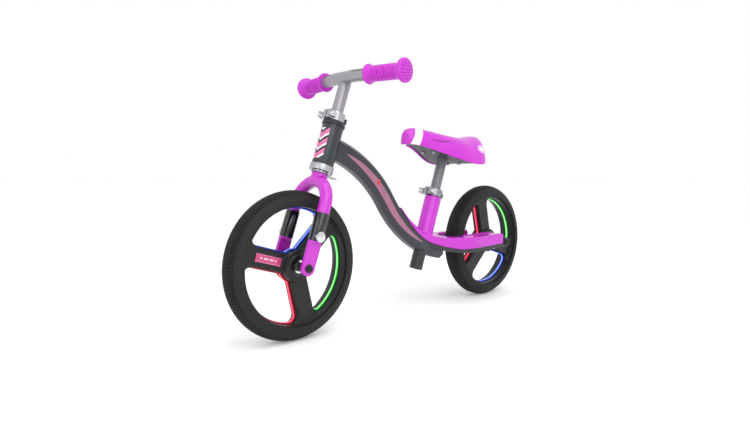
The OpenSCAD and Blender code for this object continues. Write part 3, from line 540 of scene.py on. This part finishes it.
def plate_material():
    """Raspberry vinyl name plate with a plain pale border and three pale bars in place of lettering."""
    material, parts = surface("Raspberry vinyl plate", linear("A8285C"), 0.3, linear("C4417A"), patch_mm=12,
                              grain_mm=1.0, relief_mm=0.006, **{"Coat Weight": 0.4, "Coat Roughness": 0.1})
    tree = parts["tree"]
    centred = add(tree, "VectorMath", {0: parts["place"], 1: AXLES["front"]}, operation="SUBTRACT")
    turned = add(tree, "VectorRotate", {"Vector": centred.outputs[0], "Angle": math.radians(17)},
                 rotation_type="Y_AXIS")
    x, y, z = add(tree, "SeparateXYZ", {0: turned.outputs[0]}).outputs
    edge = calc(tree, "GREATER_THAN", calc(tree, "ABSOLUTE", z), 0.0062)
    row = calc(tree, "LESS_THAN", calc(tree, "ABSOLUTE", calc(tree, "SUBTRACT", z, 0.0005)), 0.0016)
    along = calc(tree, "MULTIPLY", calc(tree, "GREATER_THAN", x, 0.048), calc(tree, "LESS_THAN", x, 0.086))
    gaps = calc(tree, "GREATER_THAN", calc(tree, "FRACT", calc(tree, "DIVIDE", x, 0.013)), 0.25)
    bars = calc(tree, "MULTIPLY", row, calc(tree, "MULTIPLY", along, gaps))
    painted_over(parts, calc(tree, "MULTIPLY", edge, 0.35), linear("E79BBE"))
    painted_over(parts, calc(tree, "MULTIPLY", bars, 0.8), linear("F0C9DA"))
    return material


# Operators, one for each piece or group of like pieces

class BIKE_OT_frame(bpy.types.Operator):
    """Rounds and paints the beam, head tube, seat tube, stays and rear axle parts"""
    bl_idname = "bike.frame"
    bl_label = "Frame"

    def execute(self, context):
        grey, zinc, oxide = shop("powder_grey"), shop("zinc_plate"), shop("black_oxide")
        finish_nodes([
            ("main_beam", "frame", 0.0045, grey, "steel_dark_paint"),
            ("head_tube", "frame", 0.0008, head_material(), "steel_dark_paint"),
            ("seat_tube", "frame", 0.0005, shop("powder_black"), "steel_black_paint"),
            ("stay_left", "frame", 0.0015, grey, "steel_grey_paint"),
            ("stay_right", "frame", 0.0015, grey, "steel_grey_paint"),
            ("cover_screws", "frame", 0.0004, zinc, "zinc_plated_steel"),
            ("rear_spacers", "frame", 0.0006, shop("matt_black"), "black_spacer"),
            ("rear_axle_bolts", "frame", 0.0007, oxide, "dark_bolt"),
        ])
        paint_node("rear_axle", zinc)
        return {"FINISHED"}


class BIKE_OT_cover(bpy.types.Operator):
    """Moulds the magenta cover in one soft-edged skin and adds the grip teeth of its foot boards"""
    bl_idname = "bike.cover"
    bl_label = "Cover"

    def execute(self, context):
        abs_pink = shop("magenta_abs")
        settle(mould("rear_cover", 0.0013, 14), "rear_cover_finished", "frame", abs_pink,
               ["rear_cover"], smooth=60)
        # One tooth is a tapered block, and a row of them stands on each board's inner edge
        teeth = []
        for side in (-1, 1):
            for k in range(15):
                bpy.ops.mesh.primitive_cube_add(size=1, location=(-0.293 + 0.0082 * k, side * 0.0405, 0.1745))
                tooth = new_piece()
                tooth.scale = (0.0052, 0.0050, 0.0050)
                bpy.ops.object.transform_apply(location=False, rotation=False, scale=True)
                edit(tooth, "FACE", lambda face: face.normal.z > 0.5)
                bpy.ops.transform.resize(value=(0.55, 0.7, 1))
                done()
                modify(tooth, "BEVEL", width=0.0008, segments=2)
                teeth.append(tooth)
        only(*teeth)
        bpy.ops.object.join()
        settle(bpy.context.object, "board_teeth", "frame", abs_pink)
        return {"FINISHED"}


class BIKE_OT_fork(bpy.types.Operator):
    """Moulds the fork's round legs into its flat ends, and finishes its sleeves, emblems and axle parts"""
    bl_idname = "bike.fork"
    bl_label = "Fork"

    def execute(self, context):
        zinc = shop("zinc_plate")
        settle(mould("fork", 0.0012, 5), "fork_finished", "fork", shop("satin_magenta_paint"),
               ["fork"], smooth=60)
        finish_nodes([
            ("fork_sleeves", "fork", 0.0006, shop("gloss_black"), "black_plastic"),
            ("fork_emblems", "fork", 0.0006, shop("chrome"), "chromed_emblem"),
            ("stop_plate", "fork", 0.0004, zinc, "zinc_plated_steel"),
            ("crown_race", "fork", 0.0003, shop("chrome"), "zinc_plated_steel"),
            ("steerer_tube", "fork", 0.0004, zinc, "steerer_steel"),
            ("front_spacers", "fork", 0.0006, shop("matt_black"), "black_spacer"),
            ("front_axle_bolts", "fork", 0.0007, shop("black_oxide"), "dark_bolt"),
        ])
        paint_node("front_axle", zinc)
        return {"FINISHED"}


class BIKE_OT_headset(bpy.types.Operator):
    """Finishes the cast cups and the cap at both ends of the head tube"""
    bl_idname = "bike.headset"
    bl_label = "Headset"

    def execute(self, context):
        cast = shop("cast_aluminium")
        finish_nodes([
            ("lower_cup", "frame", 0.0009, cast, "cast_alloy"),
            ("upper_cup", "frame", 0.0009, shop("powder_black"), "cast_alloy"),
            ("headset_cap", "fork", 0.0012, shop("powder_black"), "cast_alloy"),
        ])
        paint_node("headset_bearings", shop("chrome"))
        return {"FINISHED"}


class BIKE_OT_clamps(bpy.types.Operator):
    """Finishes the collars, skewers, nuts and levers of the bar clamp and the seat clamp"""
    bl_idname = "bike.clamps"
    bl_label = "Clamps"

    def execute(self, context):
        cast, chrome, black = shop("cast_aluminium"), shop("chrome"), shop("gloss_black")
        for end, body, collar in (("bar", "fork", cast), ("seat", "frame", shop("zinc_plate"))):
            finish_nodes([
                (end + "_collar", body, 0.0010, collar, "cast_alloy"),
                (end + "_skewer", body, 0.0004, chrome, "skewer_steel"),
                (end + "_skewer_nut", body, 0.0010, chrome, "cast_alloy"),
                (end + "_lever", end + "_clamp_lever", 0.0007, cast, "lever_alloy"),
                (end + "_lever_tip", end + "_clamp_lever", 0.0012, black, "black_plastic"),
            ])
        return {"FINISHED"}


class BIKE_OT_bar(bpy.types.Operator):
    """Paints the stem and the bar, and lays two pinstripes on each half of the bar"""
    bl_idname = "bike.bar"
    bl_label = "Bar"

    def execute(self, context):
        grey = shop("bar_grey")
        finish_nodes([
            ("stem_tube", "handlebar", 0.0004, grey, "bar_grey_paint"),
            ("bar_tube", "handlebar", 0.0002, grey, "bar_grey_paint"),
        ])
        stripes = []
        for side in (-1, 1):
            for low, high, start, end in ((38, 47, 0.005, 0.039), (62, 70, 0.009, 0.035)):
                # A strip of a tube, cut from a cylinder that is a hair wider than the bar
                bpy.ops.mesh.primitive_cylinder_add(
                    vertices=144, radius=0.01278, depth=1, end_fill_type="NOTHING",
                    rotation=(-math.pi / 2, 0, 0))
                stripe = new_piece()
                bpy.ops.object.transform_apply(location=False, rotation=True, scale=False)
                edit(stripe, "FACE", lambda face: not low < math.degrees(
                    math.atan2(face.center.z, face.center.x)) < high)
                bpy.ops.mesh.delete(type="FACE")
                done()
                for point in stripe.data.vertices:
                    point.co.y = start if point.co.y < 0 else end
                modify(stripe, "SOLIDIFY", thickness=0.00012, offset=1)
                stripe.matrix_basis = bar_end_place(side)
                bpy.ops.object.transform_apply(location=True, rotation=True, scale=True)
                stripes.append(stripe)
        only(*stripes)
        bpy.ops.object.join()
        piece = bpy.context.object
        edit(piece)
        bpy.ops.mesh.normals_make_consistent(inside=False)
        done()
        settle(piece, "bar_pinstripes", "handlebar", shop("decal_dark"))
        return {"FINISHED"}


class BIKE_OT_grips(bpy.types.Operator):
    """Turns both grips, with ribs on the front and back and small holes in the end disc"""
    bl_idname = "bike.grips"
    bl_label = "Grips"

    def execute(self, context):
        rubber = shop("grip_rubber")
        length = sizes().grip_length
        outline = [
            (0, length - 0.006), (0.0112, length - 0.006), (0.0112, 0.0002), (0.0194, 0.0002),
            (0.0202, 0.0008),
            (0.0205, 0.0016), (0.0205, 0.0030), (0.0201, 0.0038), (0.0190, 0.0044), (0.0172, 0.0050),
            (0.0162, 0.0060), (0.0157, 0.0076), (0.0155, 0.0100), (0.0153, 0.0250), (0.0152, 0.0420),
            (0.0153, 0.0600), (0.0155, 0.0760), (0.0158, 0.0795), (0.0166, 0.0820), (0.0185, 0.0840),
            (0.0212, 0.0852), (0.0230, 0.0862), (0.0238, 0.0876), (0.0240, 0.0892), (0.0240, 0.0915),
            (0.0237, 0.0930), (0.0229, 0.0941), (0.0214, 0.0950), (0.0196, length - 0.0012),
            (0.0150, length - 0.0004), (0.0080, length), (0, length)]
        for side, label in ((1, "left"), (-1, "right")):
            grip = lathe(outline, 64)
            # A hexagon of small blind holes in the end disc
            cutters = []
            for ring, count in ((0, 1), (1, 6), (2, 11), (3, 15)):
                for k in range(count):
                    turn = 2 * math.pi * k / count
                    bpy.ops.mesh.primitive_cylinder_add(
                        vertices=12, radius=0.0016, depth=0.006, rotation=(-math.pi / 2, 0, 0),
                        location=(0.0058 * ring * math.cos(turn), length, 0.0058 * ring * math.sin(turn)))
                    cutters.append(new_piece())
            only(*cutters)
            bpy.ops.object.join()
            cutter = bpy.context.object
            modify(grip, "BOOLEAN", operation="DIFFERENCE", object=cutter, solver="EXACT")
            bpy.data.objects.remove(cutter)
            parts = [grip]
            # Each rib is a ring set a little forward or back, so that it fades into the body at its ends
            for way in (-1, 1):
                for k in range(8):
                    bpy.ops.mesh.primitive_torus_add(
                        location=(way * 0.0011, 0.017 + 0.0075 * k, 0), rotation=(math.pi / 2, 0, 0),
                        major_segments=48, minor_segments=8, major_radius=0.0149, minor_radius=0.0013)
                    parts.append(new_piece())
            only(*parts)
            bpy.ops.object.join()
            place = bar_end_place(side) @ Matrix.Translation((0, sizes().bar_bare, 0))
            settle(bpy.context.object, "grip_%s_finished" % label, "handlebar", rubber,
                   ["grip_" + label], place=place)
        return {"FINISHED"}


def ease(t):
    t = min(max(t, 0.0), 1.0)
    return t * t * (3 - 2 * t)


def end_round(s, radius):
    return 1.0 if s >= radius else math.sqrt(max(0.0, 1 - (1 - s / radius) ** 2))


class BIKE_OT_saddle(bpy.types.Operator):
    """Shapes the padded saddle on its dark pan, with the seat post and bolts"""
    bl_idname = "bike.saddle"
    bl_label = "Saddle"

    def ring_point(self, s, angle):
        """A point of the padded top, by its distance from the nose and its angle over from one side."""
        length, nose = sizes().saddle_length, 0.024
        half = (nose + (sizes().saddle_half - nose) * ease((s / length - 0.06) / 0.62)) \
            * end_round(s, 0.026) * end_round(length - s, 0.060)
        top = 0.066 - 0.019 * ease(s / length / 0.72) + 0.008 * ease((s / length - 0.72) / 0.24) \
            - 0.020 * (1 - end_round(s, 0.040)) - 0.022 * (1 - end_round(length - s, 0.030))
        low = 0.026 - 0.046 * ease(s / length / 0.76) + 0.016 * ease((s / length - 0.8) / 0.2)
        across = abs(math.cos(angle)) ** 0.7 * math.copysign(1, math.cos(angle))
        rise = max(math.sin(angle), 0.0) ** 0.62
        return Vector((sizes().saddle_nose - s, half * across * (1 - 0.22 * rise), low + (top - low) * rise))

    def execute(self, context):
        length = sizes().saddle_length
        along, around = 56, 40
        # The skin starts as a grid that is wrapped over the top and rolled in under the edge
        bpy.ops.mesh.primitive_grid_add(x_subdivisions=along, y_subdivisions=around, size=1)
        skin = new_piece()
        for point in skin.data.vertices:
            u, v = point.co.x + 0.5, point.co.y + 0.5
            s = length * (0.0012 + 0.9976 * (0.5 - 0.5 * math.cos(math.pi * u)))
            if v < 0.08 or v > 0.92:
                # The hem: it rolls round the lower edge and back up inside
                t = (0.08 - v if v < 0.5 else v - 0.92) / 0.08
                angle = 0.0 if v > 0.5 else math.pi
                edge = self.ring_point(s, angle)
                inward = 0.0065 * t
                edge.y -= math.copysign(min(inward, abs(edge.y) * 0.8), edge.y)
                edge.z += 0.004 * t * t - 0.0022 * math.sin(math.pi * t)
                point.co = edge
            else:
                point.co = self.ring_point(s, math.pi * (1 - (v - 0.08) / 0.84))
            if u < 0.001 or u > 0.999:
                # Both ends close along a seam on the middle line
                point.co.y = 0
        edit(skin)
        bpy.ops.mesh.remove_doubles(threshold=0.00005)
        bpy.ops.mesh.normals_make_consistent(inside=False)
        done()
        modify(skin, "SOLIDIFY", thickness=0.0035, offset=-1)
        modify(skin, "SUBSURF", levels=1, render_levels=1)
        settle(skin, "saddle_shell_finished", "saddle", saddle_material(), ["saddle_shell"],
               place=saddle_place(), smooth=60)
        settle(mould("saddle_base", 0.0016, 3), "saddle_base_finished", "saddle", shop("saddle_base"),
               ["saddle_base"], smooth=60)
        finish_nodes([
            ("seat_post", "saddle", 0.0005, shop("post_grey"), "post_grey_paint"),
            ("saddle_bolts", "saddle", 0.0006, shop("zinc_plate"), "zinc_plated_steel"),
        ])
        return {"FINISHED"}


class BIKE_OT_tyres(bpy.types.Operator):
    """Turns both tyres from one section and raises a block on every face of the tread"""
    bl_idname = "bike.tyres"
    bl_label = "Tyres"

    def execute(self, context):
        rubber = shop("tyre_rubber")
        middle, height = sizes().tyre_middle, sizes().block_height
        plain = sizes().tyre_section - height
        # Half of the section, as (angle from the crown, extra radius). Two raised lines ring the sidewall.
        half = [(a, 0) for a in (2, 6.5, 11, 15.5, 20, 24.5, 29, 33.5, 38, 42.5, 47)]
        half += [(51, 0), (55, 0), (56, 0.0005), (58.5, 0.0005), (59.5, 0), (65, 0), (71, 0), (76, 0),
                 (77, 0.0004), (79, 0.0004), (80, 0), (86, 0), (92, 0)]
        side = [(middle + (plain + extra) * math.cos(math.radians(a)),
                 (plain + extra) * math.sin(math.radians(a))) for a, extra in half]
        side += [(0.1208, 0.0252), (0.1203, 0.0232), (0.1208, 0.0210), (0.1225, 0.0202), (0.1284, 0.0202)]
        loop = [(r, -y) for r, y in reversed(side)] + side + [(0.1284, -0.0202)]
        for end in ("front", "rear"):
            tyre = lathe(loop, sizes().block_count)

            def on_tread(face):
                radius = math.hypot(face.center.x, face.center.z)
                angle = math.degrees(math.atan2(abs(face.center.y), radius - middle))
                return angle < 47 and radius > middle and angle > 2.1

            edit(tyre, "FACE", on_tread)
            bpy.ops.mesh.inset(thickness=0.00055, depth=height, use_individual=True)
            done()
            settle(tyre, end + "_tyre_finished", end + "_wheel", rubber, [end + "_tyre"],
                   place=Matrix.Translation(AXLES[end]), smooth=30)
        return {"FINISHED"}


class BIKE_OT_rims(bpy.types.Operator):
    """Moulds the three-spoke rims and finishes the hub rings and name plates"""
    bl_idname = "bike.rims"
    bl_label = "Rims"

    def execute(self, context):
        for end in ("front", "rear"):
            settle(mould(end + "_rim", sizes().rim_round, 5), end + "_rim_finished", end + "_wheel",
                   shop("rim_nylon"), [end + "_rim"], smooth=60)
            finish_nodes([
                (end + "_hub_rings", end + "_wheel", 0.0004, shop("black_oxide"), "chromed_emblem"),
            ])
            paint_node(end + "_bearings", shop("chrome"))
            paint_node(end + "_light_unit", shop("white_plastic"))
        finish_nodes([("front_name_plates", "front_wheel", 0.0006, plate_material(), "name_plate")])
        return {"FINISHED"}


class BIKE_OT_lights(bpy.types.Operator):
    """Rounds the light rings in the wheel windows and lights them"""
    bl_idname = "bike.lights"
    bl_label = "Light rings"

    def execute(self, context):
        c = colours()
        cores = {"blue": "A8CCFF", "green": "C4FFC0", "red": "FF5C88"}
        glows = {"blue": c.glow_blue, "green": c.glow_green, "red": c.glow_red}
        for tone, core in cores.items():
            material = light_material("Lit %s silicone" % tone, list(glows[tone]), linear(core))
            for end in ("front", "rear"):
                node = "%s_light_%s" % (end, tone)
                settle(round_edges(node, 0.0008), node + "_finished", end + "_wheel", material,
                       [node])
        return {"FINISHED"}


class BIKE_OT_decals(bpy.types.Operator):
    """Lays a tapered rose stripe and a small red badge on both flat sides of the beam"""
    bl_idname = "bike.decals"
    bl_label = "Beam decals"

    def execute(self, context):
        for side, label in ((1, "left"), (-1, "right")):
            # The beam's middle line as two arcs: (centre x, centre z, radius, angles from the front back)
            arcs = ((BEAM["c1"], BEAM["r1"], 90 + 22, 90 + 56.6, 1),
                    (BEAM["c2"], BEAM["r2"], 56.6 - 90, 27 - 90, -1))
            line = []
            for centre, radius, a, b, up in arcs:
                for i in range(13):
                    turn = math.radians(a + (b - a) * i / 12)
                    line.append((centre, radius, turn, up))
            count = len(line)
            upper, lower = [], []
            for i, (centre, radius, turn, up) in enumerate(line):
                t = i / (count - 1)
                wide = 0.0088 * math.sin(math.pi * t ** 0.9) ** 0.75
                lift = -0.0015 - 0.0035 * math.sin(math.pi * t)
                for chain, h in ((upper, lift + wide), (lower, lift - wide)):
                    r = radius + up * h
                    chain.append((centre[0] + r * math.cos(turn), centre[1] + r * math.sin(turn)))
            outline = upper + lower[-2:0:-1]
            stripe = profile(outline, close=True)
            edit(stripe)
            bpy.ops.mesh.extrude_region_move(TRANSFORM_OT_translate={"value": (0, 0, 0.00012)})
            bpy.ops.mesh.select_all(action="SELECT")
            bpy.ops.mesh.normals_make_consistent(inside=False)
            done()
            place = Matrix.Translation((0, side * 0.01902, 0)) @ Matrix.Rotation(math.pi / 2, 4, "X")
            if side > 0:
                place = place @ Matrix.Scale(-1, 4, (0, 0, 1))
            settle(stripe, "beam_stripe_" + label, "frame", shop("decal_rose"),
                   place=place)
            centre, radius, turn, up = line[8]
            spot = (centre[0] + radius * math.cos(turn), centre[1] + radius * math.sin(turn))
            bpy.ops.mesh.primitive_cylinder_add(vertices=40, radius=0.0070, depth=0.0004,
                                                location=(spot[0], side * 0.0192, spot[1]),
                                                rotation=(math.pi / 2, 0, 0))
            badge = new_piece()
            badge.scale = (0.62, 1, 1)
            bpy.ops.object.transform_apply(location=False, rotation=True, scale=True)
            edit(badge, "FACE", lambda face: abs(face.normal.y) > 0.9)
            bpy.ops.mesh.inset(thickness=0.0008, depth=0.00012, use_individual=True)
            done()
            settle(badge, "beam_badge_" + label, "frame", shop("decal_red"))
        return {"FINISHED"}


class BIKE_OT_stage(bpy.types.Operator):
    """Makes the pale floor, the soft studio lights and the camera"""
    bl_idname = "bike.stage"
    bl_label = "Floor, lights and camera"

    def execute(self, context):
        scene = context.scene
        bpy.ops.object.select_all(action="DESELECT")
        bpy.ops.mesh.primitive_plane_add(size=60, location=(0, 0, 0))
        floor = new_piece()
        floor.name = "studio_floor"
        # Matt white studio paint
        paper, parts = surface("Matt white floor paint", linear("F4F4F5"), 0.8, linear("F1F1F2"),
                               patch_mm=900, grain_mm=3.0, relief_mm=0.02,
                               **{"Emission Color": linear("FFFFFF"), "Emission Strength": 0.1})
        floor.data.materials.append(paper)
        world = bpy.data.worlds.new("Studio white")
        scene.world = world
        world.use_nodes = True
        sky = world.node_tree.nodes["Background"]
        sky.inputs["Color"].default_value = linear("FFFFFF")
        sky.inputs["Strength"].default_value = 1.0
        for name, spot, size, power, tone in (
                ("softbox_over", (0.2, 0.9, 2.2), 2.0, 20, "FFFFFF"),
                ("softbox_left", (0.9, 1.9, 1.3), 1.4, 10, "FDFDFF"),
                ("softbox_front", (2.2, 0.4, 0.9), 1.2, 5, "FFFDFB")):
            light = bpy.data.lights.new(name, "AREA")
            light.energy, light.size, light.color = power, size, linear(tone)[:3]
            lamp = bpy.data.objects.new(name, light)
            scene.collection.objects.link(lamp)
            lamp.location = spot
            lamp.rotation_euler = (Vector((0, 0, 0.25)) - Vector(spot)).to_track_quat("-Z", "Y").to_euler()
        lens = bpy.data.cameras.new("camera")
        lens.sensor_width, lens.lens, lens.clip_start, lens.clip_end = 36, 26.38, 0.05, 200
        camera = bpy.data.objects.new("camera", lens)
        scene.collection.objects.link(camera)
        camera.location = (0.93785, 0.90285, 0.33139)
        look = Vector((-0.6807, -0.7278, -0.0834))
        camera.rotation_euler = look.to_track_quat("-Z", "Y").to_euler()
        scene.camera = camera
        scene.view_settings.view_transform = "Standard"
        return {"FINISHED"}


STEPS = (BIKE_OT_frame, BIKE_OT_cover, BIKE_OT_fork, BIKE_OT_headset, BIKE_OT_clamps, BIKE_OT_bar,
         BIKE_OT_grips, BIKE_OT_saddle, BIKE_OT_tyres, BIKE_OT_rims, BIKE_OT_lights, BIKE_OT_decals,
         BIKE_OT_stage)


class BIKE_PT_panel(bpy.types.Panel):
    """Lists the steps that finish the bike"""
    bl_idname = "BIKE_PT_panel"
    bl_label = "Balance bike"
    bl_space_type = "VIEW_3D"
    bl_region_type = "UI"
    bl_category = "Balance bike"

    def draw(self, context):
        for step in STEPS:
            self.layout.operator(step.bl_idname)
        for group in (context.scene.bike_sizes, context.scene.bike_colours):
            for name in group.__annotations__:
                self.layout.prop(group, name)


CLASSES = (BikeSizes, BikeColours, *STEPS, BIKE_PT_panel)


def register():
    for kind in CLASSES:
        bpy.utils.register_class(kind)
    bpy.types.Scene.bike_sizes = bpy.props.PointerProperty(type=BikeSizes)
    bpy.types.Scene.bike_colours = bpy.props.PointerProperty(type=BikeColours)


def unregister():
    del bpy.types.Scene.bike_colours
    del bpy.types.Scene.bike_sizes
    for kind in reversed(CLASSES):
        bpy.utils.unregister_class(kind)


def main():
    register()
    bpy.ops.bike.frame()
    bpy.ops.bike.cover()
    bpy.ops.bike.fork()
    bpy.ops.bike.headset()
    bpy.ops.bike.clamps()
    bpy.ops.bike.bar()
    bpy.ops.bike.grips()
    bpy.ops.bike.saddle()
    bpy.ops.bike.tyres()
    bpy.ops.bike.rims()
    bpy.ops.bike.lights()
    bpy.ops.bike.decals()
    bpy.ops.bike.stage()


if __name__ == "__main__":
    main()
